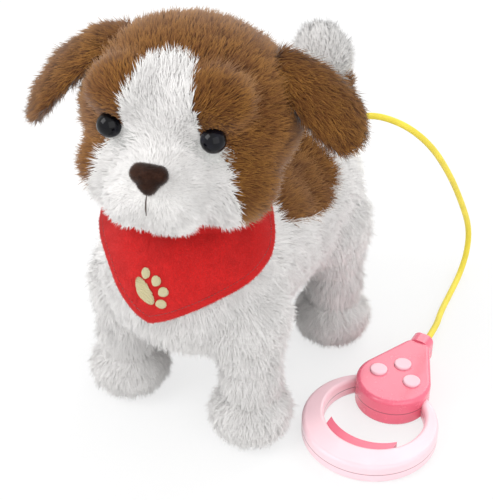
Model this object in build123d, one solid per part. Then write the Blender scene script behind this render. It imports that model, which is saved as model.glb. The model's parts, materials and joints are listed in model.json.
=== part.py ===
from build123d import *
import os
from math import asin, atan2, cos, degrees, pi, radians, sin, sqrt, tan

os.makedirs("parts", exist_ok=True)

# A walking plush puppy on a lead. Millimetres; +Z up; the puppy faces -Y and
# its left side is +X. The origin is on the floor, midway between the four paws.

# ---- clearances and walls ----
SOFT_GAP = 0.3          # plush to whatever moves past it
RUN_FIT = 0.05          # radial running fit of pins and shafts
SLIDE_FIT = 0.1         # moulded keys and knobs in their holes
AXIAL_GAP = 0.4         # end float beside turning parts
CASE_WALL = 2.0
SKIN_WALL = 4.0         # head plush with its backing
PATCH_WALL = 3.0

# ---- stance ----
LEG_X = 42.0            # leg centre from the middle plane
LEG_Y = 52.0            # leg centre ahead of and behind the middle
HIP_Z = 84.0
PAW_RADIUS = 22.5
LEG_TOP_Z = 66.0

# ---- torso, round ended, lying fore and aft ----
TORSO_Z = 100.0
TORSO_RADIUS = 53.0
TORSO_FRONT, TORSO_BACK = -92.0, 97.0

# ---- head ----
HEAD_CENTRE = (2.0, -45.0, 189.0)
HEAD_TURN = 13.0        # towards the puppy's left
HEAD_HALF_WIDTH = 54.0
HEAD_RADIUS = 48.0
MUZZLE_CENTRE = (0.0, -36.0, -18.0)
MUZZLE_HALF_LENGTH = 30.0
MUZZLE_RADIUS = 25.0
EYE_DIAMETER = 12.5
EYE_SPACING = 52.0
EYE_HEIGHT = 12.0
EAR_LENGTH = 62.0
EAR_WIDTH = 29.0
EAR_THICKNESS = 11.0

# ---- bandana ----
BANDANA_THICKNESS = 2.7
BANDANA_TOP, BANDANA_BACK = 138.0, -30.0

# ---- chassis ----
CASE_HALF_WIDTH = LEG_X - 15
CASE_FRONT, CASE_BACK = -LEG_Y - 6, LEG_Y + 8
CASE_BOTTOM, CASE_TOP = 58.0, 124.0
PIN_RADIUS = 2.5        # hip and tail pivot pins
BOSS_RADIUS = 5.0
NECK_RADIUS = 8.0
NECK_FLANGE_RADIUS = 16.0
NECK_TOP = 176.0

# ---- batteries ----
CELL_RADIUS, CELL_LENGTH = 7.15, 50.5
CELL_PITCH = 15.2
TRAY_WALL = 1.5
LID_THICKNESS = 1.8
SCREW_RADIUS = 1.3
SCREW_HEAD_RADIUS = 2.4
POST_RADIUS = 3.0       # bosses that the case screws bite into

# ---- drive ----
MODULE = 0.8
PINION_TEETH, WHEEL_TEETH = 10, 30
CRANK_Y, CRANK_Z = 0.0, 98.0
SHAFT_RADIUS = 3.0
AXLE_RADIUS = 1.5
CRANK_THROW = 11.0
GEAR_STEP_Z = 5.0       # neighbouring gear axes are staggered up and down
MOTOR_WIDTH, MOTOR_HEIGHT, MOTOR_LENGTH = 15.0, 20.0, 25.0
MOTOR_RIGHT = 1.0       # the face that the shaft comes out of
MOTOR_SHAFT_RADIUS = 1.0

SPEAKER_Z = 101.0
BOARD_FRONT, BOARD_Z = -46.0, 84.0
SWITCH_OFF = -1.4       # the knob's resting place; it slides to the same place on the other side

# ---- leg frames ----
ARM_THICKNESS = 2.5
FRONT_ARM_X = LEG_X - 10
STRUT_IN, STRUT_OUT = LEG_X - 4, LEG_X + 4
STRUT_DEPTH = 10.0
SOLE_THICKNESS = 5.0
FOOT_HALF_WIDTH = 10.0
FOOT_TOE, FOOT_HEEL = 15.0, 11.0

# ---- tail ----
TAIL_X, TAIL_Z = 4.0, 134.0
TAIL_PIN_START, TAIL_PIN_END = 72.0, 88.0
TAIL_BASE = (8.0, 108.0, 146.0)
TAIL_TIP = (3.0, 102.0, 164.0)
TAIL_BASE_RADIUS, TAIL_TIP_RADIUS = 12.5, 16.0

# ---- handset ----
RING_RADIUS = 39.0
HAND_X, HAND_Y = LEG_X + PAW_RADIUS + RING_RADIUS - 0.5, -22.0       # the ring lies beside the front left paw
HOLE_RADIUS = 29.0
HOLE_SHIFT = 6.0
RING_THICKNESS = 12.0
RING_ROUND = 2.2
HOUSING_THICKNESS = 18.0
BULB_RADIUS, BULB_Y = 22.0, 10.0
NECK_END_RADIUS, NECK_END_Y = 9.0, 42.0
HOUSING_WALL = 2.0
COLLAR_START, COLLAR_END = 48.0, 56.0
COLLAR_WIDTH, COLLAR_HEIGHT = 20.0, 13.0
BUTTON_RADIUS = 5.1
BUTTON_PROUD = 1.4
BUTTON_TRAVEL = 1.0
BUTTON_SPOTS = ((-10.5, 12.0), (0.0, 23.5), (10.5, 12.0))
TRIGGER_HALF_WIDTH = 20.5
TRIGGER_PROUD = 6.5
TRIGGER_TRAVEL = 2.5
TRIGGER_HEIGHT = 8.0
TRIGGER_BACK = -48.5
SPRING_BORE = 2.6
SPRING_START = -57.0
SPRING_TURNS, SPRING_RADIUS, SPRING_WIRE = 5, 1.8, 0.25

# ---- lead ----
CORD_RADIUS = 2.0
CORD_POINTS = ((24, 84, 132), (41, 84, 143), (64, 86, 142), (78, 101, 124), (84, 126, 92),
               (87, 150, 58), (89, 167, 30), (91, 164, 13), (92, 151, 2.1), (94.5, 128, 2.1),
               (HAND_X - 6, 102, 2.4), (HAND_X, 78, HOUSING_THICKNESS / 2), (HAND_X, COLLAR_END, HOUSING_THICKNESS / 2))
GROMMET_LENGTH = 14.0
GROMMET_RADIUS = 5.0

CASE_INNER = CASE_HALF_WIDTH - CASE_WALL
SCREW_SPOTS = [(y, z) for y in (CASE_FRONT + 4, CASE_BACK - 4) for z in (CASE_BOTTOM + 6, CASE_TOP - 6)]
HAND_MID = HOUSING_THICKNESS / 2
RING_MID = RING_THICKNESS / 2
REAR_ARM_X = FRONT_ARM_X + ARM_THICKNESS + AXIAL_GAP
FOOT_TOP = SOLE_THICKNESS + 4.0
ARM_ROOM = STRUT_IN + 1         # half width of the room for the arms inside the body plush
LEG_ROOM_TOP = 72.0


# ---- shape helpers ----
def block(x0, x1, y0, y1, z0, z1):
    return Pos((x0 + x1) / 2, (y0 + y1) / 2, (z0 + z1) / 2) * Box(x1 - x0, y1 - y0, z1 - z0)


def rod_x(radius, x0, x1, y, z):
    return Pos((x0 + x1) / 2, y, z) * Rot(0, 90, 0) * Cylinder(radius, x1 - x0)


def rod_y(radius, y0, y1, x, z):
    return Pos(x, (y0 + y1) / 2, z) * Rot(90, 0, 0) * Cylinder(radius, y1 - y0)


def rod_z(radius, z0, z1, x, y):
    return Pos(x, y, (z0 + z1) / 2) * Cylinder(radius, z1 - z0)


def egg(half_length, radius):
    """A round-ended body of revolution, long way along Z."""
    straight = half_length - radius
    low = CenterArc((0, -straight), radius, -90, 90)
    high = CenterArc((0, straight), radius, 0, 90)
    outline = low + Line(low @ 1, high @ 0) + high + Line(high @ 1, low @ 0)
    return revolve(Plane.XZ * make_face(outline), Axis.Z)


def lathe(points):
    """A body of revolution about Z from (height, radius) points with flat ends."""
    low, high = points[0][0], points[-1][0]
    corners = [(0, low)] + [(radius, height) for height, radius in points] + [(0, high)]
    return revolve(Plane.XZ * make_face(Polyline(*corners, close=True)), Axis.Z)


def save(name, shape):
    solids = shape.solids()
    export_step(Compound(children=list(solids)) if len(solids) > 1 else solids[0], f"parts/{name}.step")


# ---- head frame ----
HEAD = Location(HEAD_CENTRE, (0, 0, HEAD_TURN))


def head_form(inset):
    skull = Rot(0, 90, 0) * egg(HEAD_HALF_WIDTH - inset, HEAD_RADIUS - inset)
    muzzle = Pos(*MUZZLE_CENTRE) * Rot(90, 0, 0) * egg(MUZZLE_HALF_LENGTH - inset, MUZZLE_RADIUS - inset)
    return skull + muzzle


def face_prism():
    """The blaze and muzzle outline, carried straight back through the front of the head."""
    half = ((0, 43), (9, 42), (17, 31), (20, 14), (20, 2), (27, -7), (37, -22), (37, -60), (0, -60))
    outline = [(x, z) for x, z in half] + [(-x, z) for x, z in half[-2:0:-1]]
    face = make_face(Polyline(*outline, close=True))
    return extrude(Plane.XZ * face, 90)


def eye_seat(side):
    """Centre of an eye on the skull's surface, in the head frame."""
    x = side * EYE_SPACING / 2
    depth = sqrt(1 - (x / HEAD_HALF_WIDTH) ** 2 - (EYE_HEIGHT / HEAD_RADIUS) ** 2)
    return x, -HEAD_RADIUS * depth, EYE_HEIGHT


def eye(side):
    x, y, z = eye_seat(side)
    bead = Pos(x, y, z) * Sphere(EYE_DIAMETER / 2)
    stalk = rod_y(1.5, y, y + 14, x, z)
    return bead + stalk


def eye_washer(side):
    x, y, z = eye_seat(side)
    return rod_y(5, y + 8, y + 9.2, x, z) - rod_y(1.5, y, y + 14, x, z)


def nose():
    puff = Pos(2, -61, -2) * Rot(0, 90, 0) * egg(10, 7.5)
    return puff - head_form(0)


def neck_post():
    flange = rod_z(NECK_FLANGE_RADIUS, CASE_TOP, CASE_TOP + 3, HEAD_CENTRE[0], HEAD_CENTRE[1])
    stem = rod_z(NECK_RADIUS, CASE_TOP, NECK_TOP, HEAD_CENTRE[0], HEAD_CENTRE[1])
    cap = rod_z(14, NECK_TOP - 4, NECK_TOP, HEAD_CENTRE[0], HEAD_CENTRE[1])
    return flange + stem + cap


def ear(side):
    slope, centre = ((-43, (61, 4, 14)) if side > 0 else (41, (-62, 0, 15)))
    leaf = extrude(Ellipse(EAR_LENGTH / 2, EAR_WIDTH / 2), EAR_THICKNESS / 2, both=True)
    leaf = fillet(leaf.edges(), EAR_THICKNESS * 0.4)
    return Pos(*centre) * Rot(0, -slope, 0) * Rot(90, 0, 0) * leaf - head_form(-0.05)


# ---- torso ----
def torso_form(grow):
    half_length = (TORSO_BACK - TORSO_FRONT) / 2 + grow
    middle = (TORSO_BACK + TORSO_FRONT) / 2
    return Pos(0, middle, TORSO_Z) * Rot(90, 0, 0) * egg(half_length, TORSO_RADIUS + grow)


def side_prism():
    outline = ((-24, 127), (8, 115), (26, 117), (38, 128), (39, 142), (30, 165), (-24, 165))
    face = make_face(Polyline(*outline, close=True))
    return Pos(10, 0, 0) * extrude(Plane.YZ * face, 60)


def bandana():
    """Flap and neck band as one layer over the chest, up to the underside of the head."""
    top, side = BANDANA_TOP, TORSO_RADIUS + 9
    outline = ((-side, top), (-side, 132), (-26, 117), (6, 93), (30, 105), (side, 126), (side, top))
    face = make_face(Polyline(*outline, close=True))
    flap = Pos(0, BANDANA_BACK, 0) * extrude(Plane.XZ * face, 120)
    return (torso_form(BANDANA_THICKNESS + SOFT_GAP) & flap) - torso_form(SOFT_GAP)


def neck_well():
    """Room round the neck post and its flange."""
    return rod_z(NECK_FLANGE_RADIUS + 1, 100, 160, HEAD_CENTRE[0], HEAD_CENTRE[1])


# ---- legs ----
def leg_spots():
    """Name, side (+1 left), end (-1 front) of each leg."""
    return [("front_left", 1, -1), ("front_right", -1, -1), ("rear_left", 1, 1), ("rear_right", -1, 1)]


def arm_x(end):
    return FRONT_ARM_X if end < 0 else REAR_ARM_X


def mirrored(shape, side):
    return shape if side > 0 else mirror(shape, Plane.YZ)


def leg_frame(side, end):
    """Strut, foot plate and slotted crank arm of one leg."""
    hip_y, inner = end * LEG_Y, arm_x(end)
    hub = rod_x(6, inner, STRUT_OUT, hip_y, HIP_Z)
    strut = block(STRUT_IN, STRUT_OUT, hip_y - STRUT_DEPTH / 2, hip_y + STRUT_DEPTH / 2,
                  SOLE_THICKNESS, HIP_Z)
    plate = block(LEG_X - FOOT_HALF_WIDTH + 1, LEG_X + FOOT_HALF_WIDTH - 1, hip_y - FOOT_TOE + 1,
                  hip_y + FOOT_HEEL - 1, SOLE_THICKNESS, FOOT_TOP)
    reach = sqrt(LEG_Y ** 2 + (CRANK_Z - HIP_Z) ** 2) + 7
    tilt = degrees(atan2(CRANK_Z - HIP_Z, LEG_Y))
    arm = block(inner, inner + ARM_THICKNESS, 0, reach, -5, 5)
    slot = block(inner - 1, inner + ARM_THICKNESS + 1, reach - 11, reach - 3, -2.2, 2.2)
    arm = Pos(0, hip_y, HIP_Z) * Rot(0, 0, 0 if end < 0 else 180) * Rot(tilt, 0, 0) * (
        arm - slot if end < 0 else Pos(-2 * inner - ARM_THICKNESS, 0, 0) * (arm - slot))
    frame = hub + strut + plate + arm - rod_x(PIN_RADIUS + RUN_FIT, inner - 1, STRUT_OUT + 1, hip_y, HIP_Z)
    return mirrored(frame, side)


def foot_sole(side, end):
    hip_y = end * LEG_Y
    sole = block(LEG_X - FOOT_HALF_WIDTH, LEG_X + FOOT_HALF_WIDTH, hip_y - FOOT_TOE,
                 hip_y + FOOT_HEEL, 0, SOLE_THICKNESS)
    return mirrored(fillet(sole.edges().filter_by(Axis.Z), 6), side)


def leg_plush(side, end):
    hip_y = end * LEG_Y
    sleeve = Pos(LEG_X, hip_y, 0) * lathe(((1.0, 17), (7, 21.5), (16, PAW_RADIUS), (28, 20.5),
                                          (40, 18.5), (50, 17), (57, 14.3), (LEG_TOP_Z, 13.5)))
    strut = block(STRUT_IN - SOFT_GAP, STRUT_OUT + SOFT_GAP, hip_y - STRUT_DEPTH / 2 - SOFT_GAP,
                  hip_y + STRUT_DEPTH / 2 + SOFT_GAP, FOOT_TOP, HIP_Z)
    well = block(LEG_X - FOOT_HALF_WIDTH - SOFT_GAP, LEG_X + FOOT_HALF_WIDTH + SOFT_GAP,
                 hip_y - FOOT_TOE - SOFT_GAP, hip_y + FOOT_HEEL + SOFT_GAP, 0, FOOT_TOP)
    return mirrored(sleeve - strut - well, side)


def pivot_pins():
    pins = []
    for name, side, end in leg_spots():
        pins.append(mirrored(rod_x(PIN_RADIUS, CASE_INNER - 3, STRUT_OUT + 1, end * LEG_Y, HIP_Z), side))
    pins.append(rod_y(PIN_RADIUS, TAIL_PIN_START, TAIL_PIN_END, TAIL_X, TAIL_Z))
    return Compound(children=pins)


# ---- body skin ----
def body_skin():
    skin = torso_form(0)
    skin -= block(-ARM_ROOM, ARM_ROOM, CASE_FRONT - 6, CASE_BACK + 6, LEG_ROOM_TOP, CASE_TOP + 3.5)
    skin -= block(-CASE_HALF_WIDTH - 0.5, CASE_HALF_WIDTH + 0.5, CASE_FRONT - 4, CASE_BACK + 2,
                  CASE_BOTTOM - 1, LEG_ROOM_TOP + 1)
    skin -= block(-23, 23, -47, 44, 40, 60)
    swing = PAW_RADIUS + 10
    for name, side, end in leg_spots():
        y = end * LEG_Y
        skin -= mirrored(block(LEG_X - PAW_RADIUS - 0.6, 80, y - swing, y + swing, 20, 71.5), side)
        skin -= mirrored(block(CASE_HALF_WIDTH, STRUT_OUT + 2, y - 9, y + 9, 60, HIP_Z + 8), side)
    skin -= HEAD * head_form(-SOFT_GAP)
    skin -= neck_well()
    skin -= block(-15, 24, 62, 90, 108, 160)
    skin -= cord_rod(GROMMET_RADIUS + SOFT_GAP, -GROMMET_LENGTH - 4, 8)
    return max(skin.solids(), key=lambda solid: solid.volume)


# ---- chassis ----
def chassis():
    case = block(-CASE_HALF_WIDTH, CASE_HALF_WIDTH, CASE_FRONT, CASE_BACK, CASE_BOTTOM, CASE_TOP)
    case -= block(-CASE_INNER, CASE_INNER, CASE_FRONT + CASE_WALL, CASE_BACK - CASE_WALL,
                  CASE_BOTTOM + CASE_WALL, CASE_TOP - CASE_WALL)
    case -= block(-LID_HALF - SLIDE_FIT, LID_HALF + SLIDE_FIT, LID_FRONT - SLIDE_FIT,
                  LID_BACK + SLIDE_FIT, CASE_BOTTOM - 1, CASE_BOTTOM + CASE_WALL + 1)
    case -= block(-4, 4, -44, -34, CASE_BOTTOM - 1, CASE_BOTTOM + CASE_WALL + 1)
    for name, side, end in leg_spots():
        boss = rod_x(BOSS_RADIUS, CASE_INNER - 3, arm_x(end) - AXIAL_GAP / 2, end * LEG_Y, HIP_Z)
        case += mirrored(boss, side)
    for name, side, end in leg_spots():
        case -= mirrored(rod_x(PIN_RADIUS, CASE_INNER - 3, 50, end * LEG_Y, HIP_Z), side)
    case -= rod_x(SHAFT_RADIUS + RUN_FIT, -40, 40, CRANK_Y, CRANK_Z)
    bracket = block(-6, 10, CASE_BACK, TAIL_PIN_END, 112, 122)
    ear_plate = block(TAIL_X - 6, TAIL_X + 6, TAIL_PIN_START, 79.5, 120, TAIL_Z + 5)
    case += bracket + ear_plate - rod_y(PIN_RADIUS, 60, 100, TAIL_X, TAIL_Z)
    return case


def chassis_half(side):
    x0, x1 = (0, 60) if side > 0 else (-60, 0)
    return (chassis() & block(x0, x1, -100, 100, 40, 160)) - chassis_screws()


def chassis_screws():
    screws = []
    for y, z in SCREW_SPOTS:
        shank = rod_x(SCREW_RADIUS, CASE_HALF_WIDTH - 16, CASE_HALF_WIDTH, y, z)
        head = rod_x(SCREW_HEAD_RADIUS, CASE_HALF_WIDTH - 1.4, CASE_HALF_WIDTH, y, z)
        screws.append(shank + head)
    return Compound(children=screws)


def screw_posts():
    """Bosses inside the case that the screws bite into."""
    return [rod_x(POST_RADIUS, -CASE_INNER, CASE_INNER, y, z) for y, z in SCREW_SPOTS]


# ---- battery bay ----
TRAY_FRONT, TRAY_BACK = -28.0, 42.0
TRAY_HALF = 1.5 * CELL_PITCH + TRAY_WALL + 0.1
TRAY_BOTTOM = CASE_BOTTOM + CASE_WALL
CELL_Z = TRAY_BOTTOM + 1.0 + CELL_RADIUS
TRAY_TOP = CELL_Z + CELL_RADIUS + 1.5 + TRAY_WALL
BAY_FRONT = TRAY_FRONT + TRAY_WALL
BAY_BACK = 34.0
CELL_FRONT = BAY_FRONT + 1.0
LID_HALF = TRAY_HALF - 2.5
LID_FRONT, LID_BACK = TRAY_FRONT + 2.5, TRAY_BACK - 1.5
LID_SCREW_Y = (BAY_BACK + TRAY_BACK) / 2


def battery_tray():
    tray = block(-TRAY_HALF, TRAY_HALF, TRAY_FRONT, TRAY_BACK, TRAY_BOTTOM, TRAY_TOP)
    tray -= block(-TRAY_HALF + TRAY_WALL, TRAY_HALF - TRAY_WALL, BAY_FRONT, BAY_BACK,
                  TRAY_BOTTOM - 1, TRAY_TOP - TRAY_WALL)
    return tray - rod_z(SCREW_RADIUS, TRAY_BOTTOM - 1, TRAY_BOTTOM + 9, 0, LID_SCREW_Y)


def battery_cells():
    cells = []
    for slot in (-1, 0, 1):
        body = rod_y(CELL_RADIUS, CELL_FRONT, CELL_FRONT + CELL_LENGTH - 1.5, slot * CELL_PITCH, CELL_Z)
        nub = rod_y(2.6, CELL_FRONT + CELL_LENGTH - 1.5, CELL_FRONT + CELL_LENGTH, slot * CELL_PITCH, CELL_Z)
        cells.append(body + nub)
    return Compound(children=cells)


def battery_contacts():
    contacts = []
    for slot in (-1, 0, 1):
        x = slot * CELL_PITCH
        contacts.append(block(x - 5, x + 5, BAY_FRONT, CELL_FRONT, CELL_Z - 5, CELL_Z + 5))
        spring = Pos(x, BAY_BACK, CELL_Z) * Rot(90, 0, 0) * Pos(0, 0, (BAY_BACK - CELL_FRONT - CELL_LENGTH) / 2) \
            * Cone(4.5, 2.8, BAY_BACK - CELL_FRONT - CELL_LENGTH)
        contacts.append(spring)
    return Compound(children=contacts)


def battery_lid():
    lid = block(-LID_HALF, LID_HALF, LID_FRONT, LID_BACK, CASE_BOTTOM, CASE_BOTTOM + LID_THICKNESS)
    return lid - lid_screw()


def lid_screw():
    shank = rod_z(SCREW_RADIUS, CASE_BOTTOM, TRAY_BOTTOM + 8, 0, LID_SCREW_Y)
    head = rod_z(SCREW_HEAD_RADIUS, CASE_BOTTOM, CASE_BOTTOM + 1, 0, LID_SCREW_Y)
    return shank + head


# ---- gear train ----
PITCH_SMALL, PITCH_LARGE = MODULE * PINION_TEETH / 2, MODULE * WHEEL_TEETH / 2
CENTRES = PITCH_SMALL + PITCH_LARGE
STEP_Y = sqrt(CENTRES ** 2 - GEAR_STEP_Z ** 2)
AXES = [(CRANK_Y + n * STEP_Y, CRANK_Z + (n % 2) * GEAR_STEP_Z) for n in range(4)]
WHEEL_WIDTH, PINION_WIDTH = 3.0, 5.0
MOTOR_STAGE_X, MIDDLE_STAGE_X, CRANK_STAGE_X = 5.0, 11.0, 17.0    # the plane of each stage's wheel
PINION_LEAD = 1.0                   # a pinion starts this much before its wheel


def toothed(teeth, width, x, axis, tooth_towards):
    """A spur gear about X with one tooth pointing at the angle tooth_towards in the YZ plane."""
    pitch, step = MODULE * teeth / 2, 2 * pi / teeth
    root, tip = pitch - 1.1 * MODULE, pitch + 0.75 * MODULE
    points = []
    for n in range(teeth):
        for radius, part in ((root, -0.25), (tip, -0.1), (tip, 0.1), (root, 0.25)):
            angle = tooth_towards + (n + part) * step
            points.append((axis[0] + radius * cos(angle), axis[1] + radius * sin(angle)))
    face = Plane.YZ * make_face(Polyline(*points, close=True))
    return Pos(x, 0, 0) * extrude(face, width)


def heading(start, end):
    return atan2(end[1] - start[1], end[0] - start[0])


def wheel(axis, driver, x):
    """A wheel with a tooth towards its driving pinion."""
    return toothed(WHEEL_TEETH, WHEEL_WIDTH, x, axis, heading(axis, driver))


def pinion(axis, driven, x):
    """A pinion with a gap towards the wheel that it drives."""
    return toothed(PINION_TEETH, PINION_WIDTH, x, axis, heading(axis, driven) + pi / PINION_TEETH)


def crank_gear():
    body = wheel(AXES[0], AXES[1], CRANK_STAGE_X)
    return body + rod_x(SHAFT_RADIUS, -CASE_HALF_WIDTH - AXIAL_GAP, CASE_HALF_WIDTH + AXIAL_GAP, *AXES[0])


def idler_gear(number):
    """Wheel and pinion in one moulding; number 2 drives the crank gear, number 1 drives number 2."""
    here = AXES[3 - number]
    if number == 2:
        wheel_x, pinion_x = MIDDLE_STAGE_X, CRANK_STAGE_X - PINION_LEAD
    else:
        wheel_x, pinion_x = MOTOR_STAGE_X, MIDDLE_STAGE_X - PINION_LEAD
    body = wheel(here, AXES[4 - number], wheel_x) + pinion(here, AXES[2 - number], pinion_x)
    body += rod_x(PITCH_SMALL - 1.1 * MODULE - 0.1, min(wheel_x, pinion_x), max(wheel_x, pinion_x), *here)
    return body - rod_x(AXLE_RADIUS + RUN_FIT, -30, 30, *here)


def motor_pinion():
    body = pinion(AXES[3], AXES[2], MOTOR_STAGE_X - PINION_LEAD)
    return body + rod_x(MOTOR_SHAFT_RADIUS, MOTOR_RIGHT, MOTOR_STAGE_X, *AXES[3])


def motor():
    y, z = AXES[3]
    can = rod_x(MOTOR_HEIGHT / 2, MOTOR_RIGHT - MOTOR_LENGTH, MOTOR_RIGHT, y, z)
    can &= block(-40, 40, y - MOTOR_WIDTH / 2, y + MOTOR_WIDTH / 2, z - 20, z + 20)
    return can - rod_x(MOTOR_SHAFT_RADIUS + RUN_FIT, MOTOR_RIGHT - 1, MOTOR_RIGHT + 1, y, z)


def gear_axles():
    return Compound(children=[rod_x(AXLE_RADIUS, -CASE_INNER, CASE_INNER, *AXES[n]) for n in (1, 2)])


def crank_disc(side):
    start = CASE_HALF_WIDTH + AXIAL_GAP
    disc = rod_x(CRANK_THROW + 3, start, start + 2, CRANK_Y, CRANK_Z)
    crank = rod_x(2, start + 2, FRONT_ARM_X - AXIAL_GAP, CRANK_Y, CRANK_Z + side * CRANK_THROW)
    return mirrored(disc + crank, side)


# ---- electrics in the body ----
def circuit_board():
    board = block(-CASE_INNER, CASE_INNER, BOARD_FRONT, BOARD_FRONT + 24, BOARD_Z, BOARD_Z + 1.6)
    top = BOARD_Z + 1.6
    chips = block(-8, 4, BOARD_FRONT + 3, BOARD_FRONT + 13, top, top + 2.4) + block(
        8, 15, BOARD_FRONT + 2, BOARD_FRONT + 10, top, top + 4.4) + rod_z(3, top, top + 7, -14, BOARD_FRONT + 14)
    return board + chips


def speaker():
    y = CASE_FRONT + CASE_WALL
    frame = rod_y(13, y, y + 1.5, 0, SPEAKER_Z) + rod_y(8, y + 1.5, y + 8, 0, SPEAKER_Z)
    return frame - rod_y(10, y - 1, y + 0.6, 0, SPEAKER_Z)


def power_switch():
    knob = block(SWITCH_OFF - 2.5, SWITCH_OFF + 2.5, -42.5, -38.5, CASE_BOTTOM - 1.5,
                 CASE_BOTTOM + CASE_WALL + 0.5)
    plate = block(SWITCH_OFF - 5, SWITCH_OFF + 5, -46, -32, CASE_BOTTOM + CASE_WALL + 0.05,
                  CASE_BOTTOM + CASE_WALL + 2)
    return knob + plate


# ---- tail ----
def tail_lever():
    hub = rod_y(5, 79.5 + SOFT_GAP, TAIL_PIN_END, TAIL_X, TAIL_Z)
    post = Pos(TAIL_X, 84, 0) * block(-3, 3, -3, 3, TAIL_Z, 150)
    reach = block(TAIL_X - 3, TAIL_X + 3, 81, 103, 144, 150)
    tip = rod_z(3, 144, 168, TAIL_X, 100)
    return hub + post + reach + tip - rod_y(PIN_RADIUS + RUN_FIT, 60, 100, TAIL_X, TAIL_Z)


def tail_base():
    base = Pos(*TAIL_BASE) * Rot(35, 0, 0) * egg(TAIL_BASE_RADIUS + 4, TAIL_BASE_RADIUS)
    base -= Pos(*TAIL_TIP) * egg(TAIL_TIP_RADIUS + 2, TAIL_TIP_RADIUS)
    base -= block(-60, 60, 0, 200, 0, TAIL_Z + 4)
    return base - tail_lever()


def tail_tip():
    return Pos(*TAIL_TIP) * egg(TAIL_TIP_RADIUS + 2, TAIL_TIP_RADIUS) - tail_lever()


# ---- lead ----
def cord_route():
    return [Vector(*point) for point in CORD_POINTS]


def cord_rod(radius, start, end):
    """A round bar along the first run of the lead, measured from where it leaves the grommet."""
    first, second = cord_route()[:2]
    along = (second - first).normalized()
    plane = Plane(origin=first + along * start, z_dir=along)
    return extrude(plane * Circle(radius), end - start)


def cord_radii():
    route = cord_route()
    radii = []
    for before, corner, after in zip(route, route[1:], route[2:]):
        entering, leaving = corner - before, after - corner
        half_turn = radians(entering.get_angle(leaving)) / 2
        radii.append(0.45 * min(entering.length, leaving.length) / tan(half_turn))
    return radii


def cord():
    radii = cord_radii()
    path = FilletPolyline(*cord_route(), radius=radii)
    plane = Plane(origin=path @ 0, z_dir=path % 0)
    tube = sweep(plane * Circle(CORD_RADIUS), path=path)
    print("cord radii", [round(radius, 1) for radius in radii], "length", round(path.length, 1),
          "volume ratio", round(tube.volume / (pi * CORD_RADIUS ** 2 * path.length), 4))
    return tube


def cord_grommet():
    first, second = cord_route()[:2]
    along = (second - first).normalized()
    plane = Plane(origin=first - along * GROMMET_LENGTH, z_dir=along)
    flange = extrude(plane * Circle(GROMMET_RADIUS), GROMMET_LENGTH - 6)
    taper = loft([plane.offset(GROMMET_LENGTH - 6) * Circle(4.2), plane.offset(GROMMET_LENGTH) * Circle(2.8)])
    return flange + taper - block(-20, 10, 50, 100, 100, 200)


# ---- handset ----
def housing_outline(inset):
    bulb = Pos(HAND_X, BULB_Y) * Circle(BULB_RADIUS - inset)
    neck = Pos(HAND_X, NECK_END_Y) * Circle(NECK_END_RADIUS - inset)
    return make_hull(bulb.edges() + neck.edges())


def housing_form():
    body = extrude(housing_outline(0), HOUSING_THICKNESS)
    body = fillet(body.edges().group_by(Axis.Z)[-1] + body.edges().group_by(Axis.Z)[0], 2.5)
    profile = RectangleRounded(COLLAR_WIDTH, COLLAR_HEIGHT, 5)
    collar = extrude(Plane(origin=(HAND_X, COLLAR_START, HAND_MID), z_dir=(0, 1, 0)) * profile,
                     COLLAR_END - COLLAR_START)
    return body + collar


def housing(part):
    """part is 'top' or 'bottom'; the halves meet at mid height."""
    shell = housing_form()
    shell -= Pos(0, 0, HOUSING_WALL) * extrude(housing_outline(HOUSING_WALL + 1),
                                              HOUSING_THICKNESS - 2 * HOUSING_WALL)
    low, high = (HAND_MID, HOUSING_THICKNESS + 1) if part == "top" else (-1, HAND_MID)
    half = shell & block(HAND_X - 50, HAND_X + 50, -60, 70, low, high)
    if part == "top":
        for x, y in BUTTON_SPOTS:
            half -= rod_z(BUTTON_RADIUS + SLIDE_FIT, HAND_MID, HOUSING_THICKNESS + 1, HAND_X + x, y)
    return half


def finger_hole():
    """Cutter for the ring's hole, flared so that both rims come out rounded."""
    rim = HOLE_RADIUS + RING_ROUND
    low = CenterArc((rim, RING_ROUND), RING_ROUND, 180, 90)
    high = CenterArc((rim, RING_THICKNESS - RING_ROUND), RING_ROUND, 90, 90)
    outline = low + Line(low @ 0, high @ 1) + high
    outline += Polyline(high @ 0, (0, RING_THICKNESS), (0, 0), low @ 1)
    return revolve(Plane.XZ * make_face(outline), Axis.Z)


def ring(part):
    """The finger ring; its halves meet at half its thickness and stop at the housing's wall."""
    disc = rod_z(RING_RADIUS, 0, RING_THICKNESS, HAND_X, HAND_Y)
    disc = fillet(disc.edges().filter_by(GeomType.CIRCLE), RING_ROUND)
    body = disc - Pos(HAND_X, HAND_Y + HOLE_SHIFT) * finger_hole()
    body -= extrude(housing_outline(0), HOUSING_THICKNESS)
    body -= block(HAND_X - TRIGGER_HALF_WIDTH - SLIDE_FIT, HAND_X + TRIGGER_HALF_WIDTH + SLIDE_FIT,
                  TRIGGER_BACK - TRIGGER_TRAVEL - 0.2, HAND_Y + 5,
                  RING_MID - TRIGGER_HEIGHT / 2 - SLIDE_FIT, RING_MID + TRIGGER_HEIGHT / 2 + SLIDE_FIT)
    body -= rod_y(SPRING_BORE, SPRING_START, TRIGGER_BACK, HAND_X, RING_MID)
    low, high = (RING_MID, RING_THICKNESS) if part == "top" else (0, RING_MID)
    return body & block(HAND_X - 50, HAND_X + 50, -80, 70, low, high)


def trigger():
    bar = block(HAND_X - TRIGGER_HALF_WIDTH, HAND_X + TRIGGER_HALF_WIDTH, TRIGGER_BACK, HAND_Y,
                RING_MID - TRIGGER_HEIGHT / 2, RING_MID + TRIGGER_HEIGHT / 2)
    bar -= rod_z(HOLE_RADIUS, -1, 20, HAND_X, HAND_Y + HOLE_SHIFT + TRIGGER_PROUD)
    return bar - rod_y(2.3, TRIGGER_BACK - 1, TRIGGER_BACK + TRIGGER_TRAVEL + 1.2, HAND_X, RING_MID)


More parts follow.
